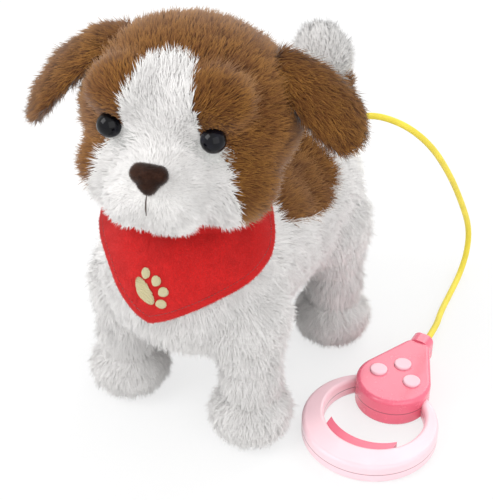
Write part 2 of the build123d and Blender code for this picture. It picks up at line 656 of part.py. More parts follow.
def trigger_spring():
    height = TRIGGER_BACK - SPRING_START - 2 * SPRING_WIRE
    coil = Helix(height / SPRING_TURNS, height, SPRING_RADIUS)
    profile = Plane(origin=coil @ 0, z_dir=coil % 0) * Circle(SPRING_WIRE)
    spring = sweep(profile, path=coil)
    return Pos(HAND_X, SPRING_START + SPRING_WIRE, RING_MID) * Rot(-90, 0, 0) * spring


def button(spot):
    x, y = HAND_X + spot[0], spot[1]
    under = HOUSING_THICKNESS - HOUSING_WALL
    cap = rod_z(BUTTON_RADIUS, under - 0.6, HOUSING_THICKNESS + BUTTON_PROUD, x, y)
    cap = fillet(cap.edges().group_by(Axis.Z)[-1], 0.8)
    skirt = rod_z(BUTTON_RADIUS + 0.7, under - 1.6, under - 0.1, x, y)
    return cap + skirt + rod_z(1.2, 11.2 + BUTTON_TRAVEL, under - 1.6, x, y)


def controller_board():
    plan = housing_outline(HOUSING_WALL + 1.2)
    board = Pos(0, 0, 9.4) * extrude(plan, 1.6)
    return board + Pos(HAND_X, 2, 6) * Box(14, 10, 6.8)


# ---- build ----
def head_pieces():
    shell = head_form(0) - head_form(SKIN_WALL)
    stuffing = head_form(SKIN_WALL)
    post = HEAD.inverse() * neck_post()
    eyes = [eye(side) for side in (1, -1)]
    hole = HEAD.inverse() * neck_well()
    for cutter in eyes:
        shell -= cutter
        stuffing -= cutter
    shell -= hole
    for side in (1, -1):
        stuffing -= eye_washer(side)
    stuffing -= post
    white = shell & face_prism()
    brown = shell - face_prism()
    save("head_brown_plush", HEAD * max(brown.solids(), key=lambda solid: solid.volume))
    save("face_white_plush", HEAD * max(white.solids(), key=lambda solid: solid.volume))
    save("head_stuffing", HEAD * max(stuffing.solids(), key=lambda solid: solid.volume))
    save("eye_left", HEAD * eyes[0])
    save("eye_right", HEAD * eyes[1])
    save("eye_washers", Compound(children=[HEAD * eye_washer(side) for side in (1, -1)]))
    save("nose", HEAD * nose())
    save("ear_left", HEAD * ear(1))
    save("ear_right", HEAD * ear(-1))
    save("neck_post", neck_post())


def body_pieces():
    patch = (torso_form(0) - torso_form(-PATCH_WALL)) & side_prism()
    skin = body_skin()
    patch = max((patch & skin).solids(), key=lambda solid: solid.volume)
    save("side_patch", patch)
    save("body_plush", max((skin - patch).solids(), key=lambda solid: solid.volume))
    save("bandana", bandana())
    save("tail_base_plush", tail_base())
    save("tail_tip_plush", tail_tip())
    save("tail_lever", tail_lever())


def chassis_pieces():
    posts = screw_posts()
    for name, side in (("chassis_left", 1), ("chassis_right", -1)):
        half = chassis_half(side)
        x0, x1 = (0, 60) if side > 0 else (-60, 0)
        for post in posts:
            half += (post & block(x0, x1, -100, 100, 40, 160)) - chassis_screws()
        save(name, half)
    save("chassis_screws", chassis_screws())
    save("battery_tray", battery_tray())
    save("battery_cells", battery_cells())
    save("battery_contacts", battery_contacts())
    save("battery_lid", battery_lid())
    save("lid_screw", lid_screw())
    save("circuit_board", circuit_board())
    save("speaker", speaker())
    save("power_switch", power_switch())
    save("pivot_pins", pivot_pins())


def drive_pieces():
    save("motor", motor())
    save("motor_pinion", motor_pinion())
    save("idler_gear_one", idler_gear(1))
    save("idler_gear_two", idler_gear(2))
    save("crank_gear", crank_gear())
    save("crank_disc_left", crank_disc(1))
    save("crank_disc_right", crank_disc(-1))
    save("gear_axles", gear_axles())


def leg_pieces():
    for name, side, end in leg_spots():
        save(f"leg_frame_{name}", leg_frame(side, end))
        save(f"leg_plush_{name}", leg_plush(side, end))
        save(f"foot_sole_{name}", foot_sole(side, end))


def lead_pieces():
    save("lead_cord", cord())
    save("cord_grommet", cord_grommet())
    save("housing_top", housing("top"))
    save("housing_bottom", housing("bottom"))
    save("ring_top", ring("top"))
    save("ring_bottom", ring("bottom"))
    save("trigger", trigger())
    save("trigger_spring", trigger_spring())
    save("controller_board", controller_board())
    for number, spot in zip(("one", "two", "three"), BUTTON_SPOTS):
        save(f"button_{number}", button(spot))


if __name__ == "__main__":
    head_pieces()
    body_pieces()
    chassis_pieces()
    drive_pieces()
    leg_pieces()
    lead_pieces()
    print("leg swing to each side", round(degrees(asin(CRANK_THROW / sqrt(LEG_Y ** 2 + (CRANK_Z - HIP_Z) ** 2))), 1))
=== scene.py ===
import json
from math import atan2, cos, degrees, pi, radians, sin, sqrt

import bmesh
import bpy
import numpy as np
from bpy.props import FloatProperty, FloatVectorProperty, PointerProperty
from bpy.types import Operator, Panel, PropertyGroup
from mathutils import Euler, Matrix, Vector


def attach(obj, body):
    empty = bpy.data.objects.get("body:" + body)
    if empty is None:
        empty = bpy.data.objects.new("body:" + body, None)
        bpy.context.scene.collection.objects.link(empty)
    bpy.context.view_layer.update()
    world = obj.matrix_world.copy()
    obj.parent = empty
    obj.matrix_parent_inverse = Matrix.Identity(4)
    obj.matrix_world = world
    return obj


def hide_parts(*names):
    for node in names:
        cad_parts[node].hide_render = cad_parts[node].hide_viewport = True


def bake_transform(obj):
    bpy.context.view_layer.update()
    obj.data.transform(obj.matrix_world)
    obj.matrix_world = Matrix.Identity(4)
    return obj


bl_info = {
    "name": "Walking plush puppy",
    "version": (1, 0, 0),
    "blender": (4, 5, 0),
    "location": "View3D > Sidebar > Puppy",
    "description": "Fur, cloth and moulded finishes for a plush puppy on a lead",
    "category": "Object",
}

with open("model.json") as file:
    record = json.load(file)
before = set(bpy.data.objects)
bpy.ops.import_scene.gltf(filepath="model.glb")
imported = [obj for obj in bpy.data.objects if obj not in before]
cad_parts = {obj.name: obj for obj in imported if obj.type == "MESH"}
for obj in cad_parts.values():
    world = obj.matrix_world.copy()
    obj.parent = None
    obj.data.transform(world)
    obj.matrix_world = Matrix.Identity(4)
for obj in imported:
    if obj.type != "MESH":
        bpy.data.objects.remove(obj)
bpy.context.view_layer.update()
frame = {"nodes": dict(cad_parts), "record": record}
NODES = frame["nodes"]
MM = 0.001
LEGS = ("front_left", "front_right", "rear_left", "rear_right")

# The head's own frame: its middle, turned a little to the puppy's left.
HEAD = Matrix.Translation((2, -45, 189)) @ Matrix.Rotation(radians(13), 4, "Z")
NOSE_TIP = HEAD @ Vector((2, -65, -1))
EYES = [HEAD @ Vector((side * 26, -40, 12)) for side in (1, -1)]
TORSO_Z, TORSO_RADIUS, TORSO_FRONT = 100, 53, -39


def from_srgb(red, green, blue):
    """A screen colour, 0 to 255, as linear values."""
    return tuple((v / 255 / 12.92) if v < 10.3 else ((v / 255 + 0.055) / 1.055) ** 2.4 for v in (red, green, blue))


# ---- node trees ----
class Value:
    """A socket of a node tree; sums and products of it add Math nodes."""

    def __init__(self, tree, socket):
        self.tree, self.socket = tree, socket

    def maths(self, operation, *others):
        return self.tree.add("ShaderNodeMath", {"operation": operation}, dict(enumerate((self,) + others)))

    def __add__(self, other):
        return self.maths("ADD", other)

    __radd__ = __add__

    def __mul__(self, other):
        return self.maths("MULTIPLY", other)

    __rmul__ = __mul__

    def __sub__(self, other):
        return self.maths("SUBTRACT", other)

    def __rsub__(self, other):
        return self.tree.add("ShaderNodeMath", {"operation": "SUBTRACT"}, {0: other, 1: self})

    def ramp(self, low, high):
        """0 below low, 1 above high, smooth between."""
        return self.tree.add("ShaderNodeMapRange", {"interpolation_type": "SMOOTHSTEP"},
                             {"Value": self, "From Min": low, "From Max": high})


class Tree:
    """A node tree that is filled through one method."""

    def __init__(self, nodes, links):
        self.nodes, self.links = nodes, links

    def add(self, kind, settings=None, sockets=None, out=0):
        node = self.nodes.new(kind)
        for key, value in (settings or {}).items():
            setattr(node, key, value)
        for key, value in (sockets or {}).items():
            if isinstance(value, Value):
                self.links.new(value.socket, node.inputs[key])
            else:
                if node.inputs[key].type == "RGBA" and len(value) == 3:
                    value = (*value, 1)
                node.inputs[key].default_value = value
        self.last = node
        return Value(self, node.outputs[out]) if node.outputs else None

    def mix(self, factor, first, second, blend="MIX"):
        return self.add("ShaderNodeMix", {"data_type": "RGBA", "blend_type": blend},
                        {0: factor, 6: first, 7: second}, out=2)

    def vector(self, operation, *values, out=0):
        return self.add("ShaderNodeVectorMath", {"operation": operation}, dict(enumerate(values)), out=out)

    def scaled(self, vector, factor):
        return self.add("ShaderNodeVectorMath", {"operation": "SCALE"}, {0: vector, 3: factor})


class Finish(Tree):
    """A material: constants on its shader, and what varies linked to it."""

    def __init__(self, name, **constants):
        self.material = bpy.data.materials.new(name)
        self.material.use_nodes = True
        tree = self.material.node_tree
        tree.nodes.clear()
        super().__init__(tree.nodes, tree.links)
        self.add("ShaderNodeBsdfPrincipled", {}, {k.replace("_", " ").title().replace("Ior", "IOR"): v
                                                  for k, v in constants.items()})
        self.shader = self.last
        self.add("ShaderNodeOutputMaterial")
        self.end = self.last
        self.links.new(self.shader.outputs[0], self.end.inputs["Surface"])

    def feed(self, **values):
        for key, value in values.items():
            socket = self.shader.inputs[key.replace("_", " ").title()]
            self.links.new(value.socket, socket)
        return self

    def place(self):
        return self.add("ShaderNodeTexCoord", out=3)

    def noise(self, scale, detail=2.0, place=None, roughness=0.5):
        return self.add("ShaderNodeTexNoise", {}, {"Vector": place or self.place(), "Scale": scale,
                                                   "Detail": detail, "Roughness": roughness})

    def grey(self, level):
        """A number as a colour of its own brightness."""
        return self.add("ShaderNodeCombineXYZ", {}, {0: level, 1: level, 2: level})

    def bump(self, height, distance, strength=1.0):
        return self.add("ShaderNodeBump", {}, {"Strength": strength, "Distance": distance, "Height": height})


# ---- finishes ----
def fur_finish(name, root, middle, tip):
    """Hair: its map runs across the pile's shades and along each hair."""
    finish = Finish(name, roughness=0.75, specular_ior_level=0.25, sheen_weight=0.25, sheen_roughness=0.5)
    place = finish.add("ShaderNodeUVMap", {"uv_map": "OFBake"})
    shade = finish.add("ShaderNodeSeparateXYZ", {}, {0: place}, out=0)
    along = Value(finish, finish.last.outputs[1])
    # Darker towards each hair's root: painted shade of the pile's depth. The tips' colour is the hairs' own.
    colour = finish.mix(along.ramp(0.0, 0.55), root, middle)
    colour = finish.mix((along - 0.35 + shade * 0.5).ramp(0.2, 0.9), colour, tip)
    grain = finish.add("ShaderNodeTexNoise", {}, {"Vector": place, "Scale": 9.0, "Detail": 2.0})
    level = 0.88 + shade * 0.18 + grain * 0.08
    return finish.feed(base_color=finish.mix(1.0, colour, finish.grey(level), "MULTIPLY")).material


def backing_finish(name, colour):
    """The knitted backing that the pile stands on, and short fluff."""
    finish = Finish(name, roughness=0.95, specular_ior_level=0.1, sheen_weight=0.3)
    fluff = finish.noise(900.0, 3.0)
    clumps = finish.noise(120.0, 2.0)
    level = 0.72 + fluff * 0.3 + clumps * 0.2
    tint = finish.mix(1.0, colour, finish.grey(level), "MULTIPLY")
    return finish.feed(base_color=tint, normal=finish.bump(fluff, 0.0009, 0.8)).material


def velour_finish(name, colour, dark):
    """Brushed velour: a fine nap that lies in soft patches, whose sheen is painted as lighter and darker colour."""
    finish = Finish(name, roughness=0.9, specular_ior_level=0.12, sheen_weight=0.22, sheen_roughness=0.5)
    nap = finish.noise(1500.0, 3.0)
    brushed = finish.noise(95.0, 4.0)
    # Lighter and darker patches: painted sheen of the nap lying in different directions.
    tint = finish.mix(brushed.ramp(0.2, 0.62), dark, colour)
    tint = finish.mix(nap.ramp(0.35, 0.8) * 0.4, tint, dark)
    return finish.feed(base_color=tint, normal=finish.bump(nap + brushed * 0.6, 0.0004, 0.6)).material


def thread_finish(name, colour):
    """Twisted thread seen close: fine slanting strands."""
    finish = Finish(name, roughness=0.7, sheen_weight=0.4)
    strands = finish.add("ShaderNodeTexWave", {"bands_direction": "DIAGONAL"},
                         {"Vector": finish.place(), "Scale": 900.0, "Distortion": 1.0})
    dark = tuple(v * 0.72 for v in colour)
    return finish.feed(base_color=finish.mix(strands, dark, colour), normal=finish.bump(strands, 0.0003)).material


def moulded_finish(name, colour, roughness=0.3, coat=0.0, grain=0.25, parting=None):
    """Injection-moulded plastic: a faint texture, cloudiness, handling marks, and painted shade along the line where
    halves meet.
    """
    finish = Finish(name, coat_roughness=0.12, specular_ior_level=0.5)
    texture = finish.noise(2200.0, 2.0)
    cloud = finish.noise(35.0, 3.0)
    marks = finish.noise(160.0, 6.0, roughness=0.7)
    paler = tuple(min(1, v * 1.06 + 0.01) for v in colour)
    tint = finish.mix(cloud.ramp(0.3, 0.7), colour, paler)
    # A dark line at the height where the halves meet: painted shade of the seam between them.
    if parting:
        height = finish.add("ShaderNodeSeparateXYZ", {}, {0: finish.place()}, out=2)
        away = (height - parting).maths("ABSOLUTE", 0.0)
        tint = finish.mix(away.ramp(0.00012, 0.0004), tuple(v * 0.4 for v in colour), tint)
    finish.feed(base_color=tint,
                roughness=roughness + marks.ramp(0.5, 0.8) * 0.12 + texture * 0.05,
                normal=finish.bump(texture, 0.0001, grain))
    if coat:
        finish.feed(coat_weight=coat - marks.ramp(0.55, 0.8) * 0.3)
    return finish.material


def metal_finish(name, colour, roughness=0.3):
    """Plated steel with fine lines from drawing."""
    finish = Finish(name, metallic=1.0)
    place = finish.vector("MULTIPLY", finish.place(), (60.0, 1600.0, 1600.0))
    lines = finish.noise(1.0, 2.0, place)
    finish.feed(base_color=finish.mix(lines, tuple(v * 0.8 for v in colour), colour),
                roughness=roughness + lines * 0.2, normal=finish.bump(lines, 0.00005, 0.4))
    return finish.material


def board_finish(name):
    """Solder mask over copper tracks."""
    finish = Finish(name, specular_ior_level=0.5)
    tracks = finish.add("ShaderNodeTexBrick", {"offset": 0.5}, {"Vector": finish.place(), "Scale": 260.0,
                                                                 "Mortar Size": 0.035}, out=1)
    mottle = finish.noise(400.0, 2.0)
    tint = finish.mix(tracks, from_srgb(22, 92, 52), from_srgb(60, 140, 80))
    finish.feed(base_color=finish.mix(mottle * 0.3, tint, from_srgb(16, 70, 40)),
                roughness=0.35 + mottle * 0.15, normal=finish.bump(tracks, 0.00008))
    return finish.material


def wrap_finish(name):
    """Shrink-wrapped cells: a black body with a coppery end band."""
    finish = Finish(name, coat_roughness=0.1)
    x = finish.add("ShaderNodeSeparateXYZ", {}, {0: finish.place()})
    scuffs = finish.noise(300.0, 4.0)
    band = x.ramp(0.0118, 0.0122)
    tint = finish.mix(band, from_srgb(36, 36, 40), from_srgb(184, 118, 60))
    finish.feed(base_color=finish.mix(scuffs * 0.2, tint, from_srgb(90, 90, 92)),
                roughness=0.3 + scuffs * 0.15, coat_weight=0.4 - scuffs * 0.2)
    return finish.material


def wadding_finish(name):
    """Loose polyester wadding."""
    finish = Finish(name, roughness=0.95, sheen_weight=0.5)
    fibres = finish.noise(700.0, 6.0, roughness=0.75)
    finish.feed(base_color=finish.mix(fibres, from_srgb(205, 205, 200), from_srgb(246, 246, 244)),
                normal=finish.bump(fibres, 0.002))
    return finish.material


def bead_finish(name, colour):
    """Polished safety eye: nearly black, with a trace of blue inside."""
    finish = Finish(name, coat_roughness=0.05, specular_ior_level=0.2, ior=1.45)
    depth = finish.noise(90.0, 2.0)
    finish.feed(base_color=finish.mix(depth.ramp(0.4, 0.7), colour, from_srgb(16, 17, 30)),
                roughness=0.09 + depth * 0.06, coat_weight=0.08 + depth * 0.06)
    return finish.material


def lead_finish(name, colour):
    """Soft vinyl lead with a very slight orange-peel surface."""
    finish = Finish(name, specular_ior_level=0.45)
    peel = finish.noise(1500.0, 2.0)
    tone = finish.noise(70.0, 2.0)
    finish.feed(base_color=finish.mix(tone.ramp(0.3, 0.7), tuple(v * 0.9 for v in colour), colour),
                roughness=0.42 + peel * 0.12, normal=finish.bump(peel, 0.00012, 0.5))
    return finish.material


FINISHES = {}


def finishes():
    """All finishes of the puppy, made once."""
    if FINISHES:
        return FINISHES
    colours = bpy.context.scene.puppy_colours
    white, brown, red = tuple(colours.white_fur), tuple(colours.brown_fur), tuple(colours.bandana)
    FINISHES.update(
        # Root colours darker than the middle: painted shade of the pile's depth.
        white_hair=fur_finish("white_hair", tuple(v * 0.94 for v in white), white,
                              tuple(min(1, v * 1.06) for v in white)),
        brown_hair=fur_finish("brown_hair", tuple(v * 0.42 for v in brown), brown, tuple(colours.golden_tips)),
        red_nap=fur_finish("red_nap", tuple(v * 0.72 for v in red), red,
                           tuple(min(1, v * 1.12 + 0.02) for v in red)),
        nose_hair=fur_finish("nose_hair", from_srgb(26, 12, 6), tuple(colours.nose), from_srgb(84, 48, 28)),
        # Backings darker than their pile: painted shade of the pile's depth where the skin shows between the hairs.
        white_plush=backing_finish("white_backing", tuple(v * 0.93 for v in white)),
        brown_plush=backing_finish("brown_backing", tuple(v * 0.55 for v in brown)),
        nose_plush=backing_finish("nose_backing", tuple(colours.nose)),
        red_velour=velour_finish("red_velour", red, tuple(v * 0.76 for v in red)),
        red_thread=thread_finish("red_thread", tuple(v * 0.35 for v in red)),
        cream_thread=thread_finish("cream_thread", from_srgb(234, 222, 168)),
        brown_thread=thread_finish("brown_thread", from_srgb(70, 40, 20)),
        stuffing=wadding_finish("wadding"),
        eye_gloss=bead_finish("eye_gloss", from_srgb(5, 5, 8)),
        inner_plastic=moulded_finish("inner_plastic", from_srgb(226, 226, 222), 0.4),
        steel=metal_finish("plated_steel", (0.62, 0.62, 0.6)),
        cell_wrap=wrap_finish("cell_wrap"),
        board=board_finish("circuit_board"),
        black_plastic=moulded_finish("black_plastic", from_srgb(34, 34, 36), 0.45),
        yellow_cord=lead_finish("yellow_lead", tuple(colours.lead)),
        grommet=lead_finish("lead_grommet", tuple(colours.lead)),
        hot_pink=moulded_finish("hot_pink_plastic", tuple(colours.housing), 0.22, 0.5, parting=0.009),
        pale_pink=moulded_finish("pale_pink_plastic", tuple(colours.ring), 0.3, 0.25, parting=0.006),
        dark_pink=moulded_finish("trigger_plastic", tuple(v * 0.92 for v in colours.housing), 0.28, 0.4),
        button_pink=moulded_finish("button_plastic", from_srgb(246, 196, 208), 0.3, 0.3),
        gear_nylon=moulded_finish("gear_nylon", from_srgb(232, 231, 222), 0.5),
        sole_rubber=lead_finish("sole_rubber", from_srgb(214, 210, 205)),
    )
    return FINISHES


# ---- mesh helpers ----
def new_piece(name, mesh, *finish_names):
    piece = bpy.data.objects.new(name, mesh)
    bpy.context.scene.collection.objects.link(piece)
    for finish_name in finish_names:
        mesh.materials.append(finishes()[finish_name])
    return piece


def made_mesh(name, bm):
    """The mesh of a finished bmesh, which is let go."""
    mesh = bpy.data.meshes.new(name)
    bm.to_mesh(mesh)
    bm.free()
    return mesh


def settle(piece):
    """The piece with its modifiers turned into plain mesh."""
    bpy.context.view_layer.update()
    evaluated = piece.evaluated_get(bpy.context.evaluated_depsgraph_get())
    mesh = bpy.data.meshes.new_from_object(evaluated, preserve_all_data_layers=True,
                                           depsgraph=bpy.context.evaluated_depsgraph_get())
    piece.modifiers.clear()
    piece.data = mesh
    return piece


def mesh_points(mesh):
    points = np.empty(len(mesh.vertices) * 3, np.float32)
    mesh.vertices.foreach_get("co", points)
    return points.reshape(-1, 3)


def mesh_normals(mesh):
    normals = np.empty(len(mesh.vertices) * 3, np.float32)
    mesh.vertex_normals.foreach_get("vector", normals)
    return normals.reshape(-1, 3)


def from_faces(name, source, keep):
    """A new mesh from the faces of source whose middles pass keep, in millimetres."""
    bm = bmesh.new()
    bm.from_mesh(source)
    out = [f for f in bm.faces if not keep(f.calc_center_median() * 1000)]
    bmesh.ops.delete(bm, geom=out, context="FACES")
    return made_mesh(name, bm)


def lumps_skin(name, lumps, grain=2.6, rounds=10, place=None):
    """One closed skin around overlapping round lumps: (centre, radii, turn in degrees), in millimetres."""
    bm = bmesh.new()
    for lump in lumps:
        centre, radii = lump[:2]
        turn = lump[2] if len(lump) > 2 else (0, 0, 0)
        spot = Matrix.Translation(centre) @ Euler([radians(a) for a in turn]).to_matrix().to_4x4()
        spot = (place or Matrix()) @ spot @ Matrix.Diagonal((*radii, 1))
        bmesh.ops.create_icosphere(bm, subdivisions=4, radius=1, matrix=Matrix.Scale(MM, 4) @ spot)
    piece = new_piece(name, made_mesh(name, bm))
    remesh = piece.modifiers.new("union", "REMESH")
    remesh.mode, remesh.voxel_size = "VOXEL", grain * MM
    smooth = piece.modifiers.new("smooth", "SMOOTH")
    smooth.factor, smooth.iterations = 0.5, rounds
    settle(piece)
    piece.data.shade_smooth()
    return piece


def tangent(direction, normals):
    """The part of direction that lies along the skin, at unit length."""
    flat = direction - normals * (direction * normals).sum(1, keepdims=True)
    return flat / np.maximum(np.linalg.norm(flat, axis=1, keepdims=True), 1e-6)


def near(points, centre, inner, outer):
    """0 inside the inner radius, 1 outside the outer one."""
    away = np.linalg.norm(points - np.array(centre), axis=1)
    return np.clip((away - inner) / (outer - inner), 0, 1)


# ---- fur ----
def fur_tree():
    """Hairs over a skin: scattered, combed, and each a closed three-sided spike."""
    if "Pile" in bpy.data.node_groups:
        return bpy.data.node_groups["Pile"]
    group = bpy.data.node_groups.new("Pile", "GeometryNodeTree")
    group.interface.new_socket("Skin", in_out="INPUT", socket_type="NodeSocketGeometry")
    for label, default in (("Hairs per Square Metre", 1e6), ("Length", 0.007), ("Width", 0.0004),
                           ("Rise", 0.5), ("Scatter", 0.35)):
        group.interface.new_socket(label, in_out="INPUT", socket_type="NodeSocketFloat").default_value = default
    group.interface.new_socket("Seed", in_out="INPUT", socket_type="NodeSocketInt")
    group.interface.new_socket("Finish", in_out="INPUT", socket_type="NodeSocketMaterial")
    group.interface.new_socket("Hairs", in_out="OUTPUT", socket_type="NodeSocketGeometry")
    tree = Tree(group.nodes, group.links)
    tree.add("NodeGroupInput")
    given = {s.name: Value(tree, s) for s in tree.last.outputs if s.name}

    def stored(kind, name):
        return tree.add("GeometryNodeInputNamedAttribute", {"data_type": kind}, {"Name": name})

    points = tree.add("GeometryNodeDistributePointsOnFaces", {"distribute_method": "RANDOM"},
                      {"Mesh": given["Skin"], "Seed": given["Seed"],
                       "Density": given["Hairs per Square Metre"] * stored("FLOAT", "cover")})
    normal = Value(tree, tree.last.outputs["Normal"])
    jitter = tree.add("FunctionNodeRandomValue", {"data_type": "FLOAT_VECTOR"},
                      {0: (-1, -1, -1), 1: (1, 1, 1), "Seed": 3})
    clump = tree.add("ShaderNodeTexNoise", {"noise_dimensions": "3D"},
                     {"Scale": 210.0, "Detail": 1.0}, out=1)
    clump = tree.vector("SUBTRACT", clump, (0.5, 0.5, 0.5))
    lean = tree.vector("ADD", stored("FLOAT_VECTOR", "comb"), tree.scaled(normal, given["Rise"]))
    lean = tree.vector("ADD", lean, tree.scaled(jitter, given["Scatter"]))
    lean = tree.vector("ADD", lean, tree.scaled(clump, 1.7))
    turn = tree.add("FunctionNodeAlignRotationToVector", {"axis": "Z"}, {"Vector": lean})
    chance = tree.add("FunctionNodeRandomValue", {"data_type": "FLOAT"}, {2: 0.6, 3: 1.12, "Seed": 5}, out=1)
    shade = tree.add("FunctionNodeRandomValue", {"data_type": "FLOAT"}, {2: 0.0, 3: 0.45, "Seed": 8}, out=1)
    patch = tree.add("ShaderNodeTexNoise", {"noise_dimensions": "3D"}, {"Scale": 75.0, "Detail": 2.0})
    shade = (shade + patch.ramp(0.25, 0.75) * 0.5).maths("MINIMUM", 0.95)
    points = tree.add("GeometryNodeStoreNamedAttribute", {"data_type": "FLOAT_VECTOR", "domain": "POINT"},
                      {"Geometry": points, "Name": "skin_normal", "Value": normal})
    points = tree.add("GeometryNodeStoreNamedAttribute", {"data_type": "FLOAT", "domain": "POINT"},
                      {"Geometry": points, "Name": "shade", "Value": shade})
    cone = tree.add("GeometryNodeMeshCone", {"fill_type": "NGON"},
                    {"Vertices": 3, "Side Segments": 1, "Radius Top": 0.0, "Radius Bottom": 1.0, "Depth": 1.0})
    height = tree.add("ShaderNodeSeparateXYZ", {}, {0: tree.add("GeometryNodeInputPosition")}, out=2)
    cone = tree.add("GeometryNodeStoreNamedAttribute", {"data_type": "FLOAT", "domain": "POINT"},
                    {"Geometry": cone, "Name": "along", "Value": height})
    number = tree.add("GeometryNodeInputIndex")
    cone = tree.add("GeometryNodeStoreNamedAttribute", {"data_type": "FLOAT", "domain": "POINT"},
                    {"Geometry": cone, "Name": "side", "Value": number * 1.0})
    long = given["Length"] * stored("FLOAT", "reach") * chance
    size = tree.add("ShaderNodeCombineXYZ", {}, {0: given["Width"], 1: given["Width"], 2: long})
    hairs = tree.add("GeometryNodeInstanceOnPoints", {}, {"Points": points, "Instance": cone,
                                                          "Rotation": turn, "Scale": size})
    hairs = tree.add("GeometryNodeRealizeInstances", {}, {"Geometry": hairs})
    side, along = stored("FLOAT", "side"), stored("FLOAT", "along")
    across = 0.01 + stored("FLOAT", "shade") + side * 0.009
    up = 0.03 + along * 0.9 + side * side * 0.006
    spot = tree.add("ShaderNodeCombineXYZ", {}, {0: across, 1: up, 2: 0.0})
    hairs = tree.add("GeometryNodeStoreNamedAttribute", {"data_type": "FLOAT2", "domain": "CORNER"},
                     {"Geometry": hairs, "Name": "OFBake", "Value": spot})
    hairs = tree.add("GeometryNodeSetMaterial", {}, {"Geometry": hairs, "Material": given["Finish"]})
    tree.add("NodeGroupOutput")
    tree.links.new(hairs.socket, tree.last.inputs[0])
    return group


def grow_fur(name, skin, comb, reach, cover, finish, length=7.0, width=0.42, dense=1.0, rise=0.5, scatter=0.4,
             seed=1):
    """Fur over a skin mesh; comb, reach and cover are worked out at its points."""
    source = skin.copy()
    for label, kind, values in (("comb", "FLOAT_VECTOR", comb), ("reach", "FLOAT", reach), ("cover", "FLOAT", cover)):
        attribute = source.attributes.new(label, kind, "POINT")
        attribute.data.foreach_set("vector" if kind == "FLOAT_VECTOR" else "value",
                                   np.ascontiguousarray(values, np.float32).ravel())
    source.materials.clear()
    piece = new_piece(name, source)
    sizes = bpy.context.scene.puppy_sizes
    modifier = piece.modifiers.new("fur", "NODES")
    modifier.node_group = fur_tree()
    sockets = {s.name: s.identifier for s in modifier.node_group.interface.items_tree if s.in_out == "INPUT"}
    thin = 1.0
    for label, value in (("Hairs per Square Metre", dense * sizes.fur_density * thin),
                         ("Length", length * MM * sizes.fur_length),
                         ("Width", width * MM * 1),
                         ("Rise", rise), ("Scatter", scatter), ("Seed", seed), ("Finish", finishes()[finish])):
        modifier[sockets[label]] = value
    settle(piece)
    mesh = piece.data
    skins = np.empty(len(mesh.vertices) * 3, np.float32)
    mesh.attributes["skin_normal"].data.foreach_get("vector", skins)
    skins = skins.reshape(-1, 3) * 0.86 + mesh_normals(mesh) * 0.14
    skins /= np.maximum(np.linalg.norm(skins, axis=1, keepdims=True), 1e-6)
    for label in ("comb", "reach", "cover", "shade", "along", "side", "skin_normal"):
        if label in mesh.attributes:
            mesh.attributes.remove(mesh.attributes[label])
    mesh.shade_smooth()
    mesh.normals_split_custom_set_from_vertices(skins.tolist())
    return piece


def backed(name, mesh, finish, *nodes, body="torso", fill=0.6, wall=1.2):
    """A sewn panel: a skin with its wall, standing for the given nodes."""
    piece = new_piece(name, mesh, finish)
    solid = piece.modifiers.new("wall", "SOLIDIFY")
    solid.thickness, solid.offset = wall * MM, -1
    settle(piece)
    piece.data.shade_smooth()
    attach(piece, body)
    if nodes:
        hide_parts(*nodes)
    return piece


# ---- the puppy's forms ----
def head_skin():
    lumps = [((0, 3, 4), (55, 47, 45)), ((1, -36, -14), (23, 30, 21)), ((25, -20, -20), (25, 25, 21)),
             ((-25, -20, -20), (25, 25, 21)), ((11, -50, -19), (14, 16, 14)), ((-11, -50, -19), (14, 16, 14)),
             ((0, -40, -29), (15, 17, 10)), ((20, -26, 24), (20, 17, 16)), ((-20, -26, 24), (20, 17, 16)),
             ((0, 20, -5), (48, 32, 42))]
    return lumps_skin("head_form", lumps, place=HEAD)


def face_outline(height):
    """Half width of the white face panel at a height of the head's own frame."""
    heights = [-60, -20, -8, -1, 4, 8, 14, 31, 40, 43]
    widths = [39, 37, 33, 30, 25, 20, 19, 17, 11, 0]
    return float(np.interp(height, heights, widths))


def is_white_face(point):
    own = HEAD.inverted() @ Vector(point)
    if own.z < -22:
        return own.y < 4 and -44 < own.x < 37
    return own.y < -2 and abs(own.x) < face_outline(own.z)


def head_fur_fields(mesh):
    points, normals = mesh_points(mesh) * 1000, mesh_normals(mesh)
    comb = tangent(points - np.array(NOSE_TIP), normals) + np.array((0, 0, -0.25))
    reach = 0.95 * (0.35 + 0.65 * near(points, NOSE_TIP, 14, 46))
    for eye in EYES:
        reach *= 0.25 + 0.75 * near(points, eye, 6, 15)
    cover = near(points, NOSE_TIP, 10, 11.5)
    for eye in EYES:
        cover *= near(points, eye, 5.5, 6.5)
    return tangent(comb, normals), reach, cover


class PUPPY_OT_head(Operator):
    """Head panels in brown and white, with their fur"""
    bl_idname = "puppy.head"
    bl_label = "Head"

    def execute(self, context):
        form = head_skin()
        for name, keep, backing, hair, nodes, seed, dense in (
                ("head_brown", lambda p: not is_white_face(p), "brown_plush", "brown_hair",
                 ("head_brown_plush",), 11, 1.85),
                ("face_white", is_white_face, "white_plush", "white_hair", ("face_white_plush",), 12, 2.0)):
            panel = from_faces(name, form.data, keep)
            comb, reach, cover = head_fur_fields(panel)
            fur = grow_fur(name + "_fur", panel, comb, reach, cover, hair, length=7.5, width=0.34, dense=dense,
                           seed=seed, rise=0.45)
            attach(fur, "torso")
            backed(name, panel, backing, *nodes)
        bpy.data.objects.remove(form)
        return {"FINISHED"}


